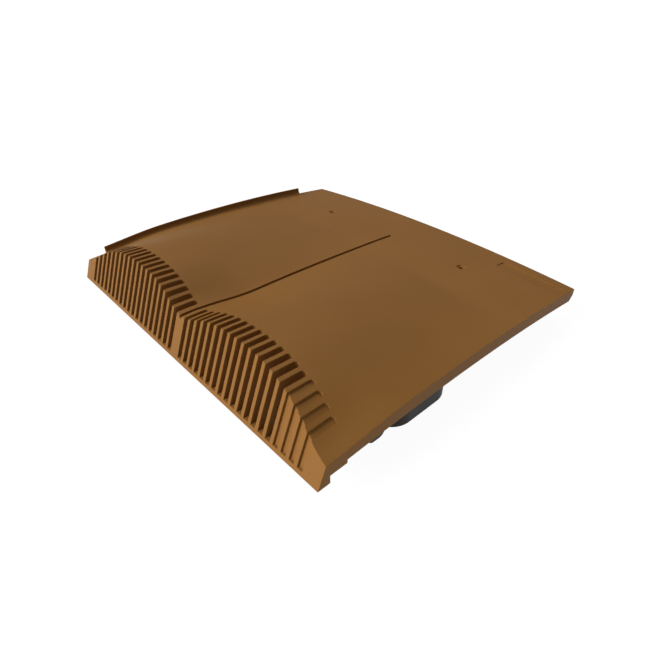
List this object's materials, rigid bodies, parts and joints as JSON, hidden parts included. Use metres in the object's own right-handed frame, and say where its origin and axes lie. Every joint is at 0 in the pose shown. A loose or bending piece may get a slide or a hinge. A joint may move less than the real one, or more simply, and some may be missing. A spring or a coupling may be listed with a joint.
{
  "type": "ventilating roof tile",
  "caption": "Moulded brown double plain tile with a slotted two-hump hood and a dark duct tray that snaps in under it",
  "frame": {"origin": "Middle of the hood's lower front edge, where the tile's tail rests on the course below", "axes": "X across the roof to the right as seen from below, Y up the slope, Z away from the roof"},
  "size_m": [0.34, 0.307, 0.0668],
  "materials": {
    "tile_brown": "moulded brown plastic with a fine even texture",
    "tray_grey": "moulded dark grey plastic, plain"
  },
  "bodies": {
    "root": {"vent_tile": "tile_brown", "duct_tray": "tray_grey"}
  },
  "joints": []
}
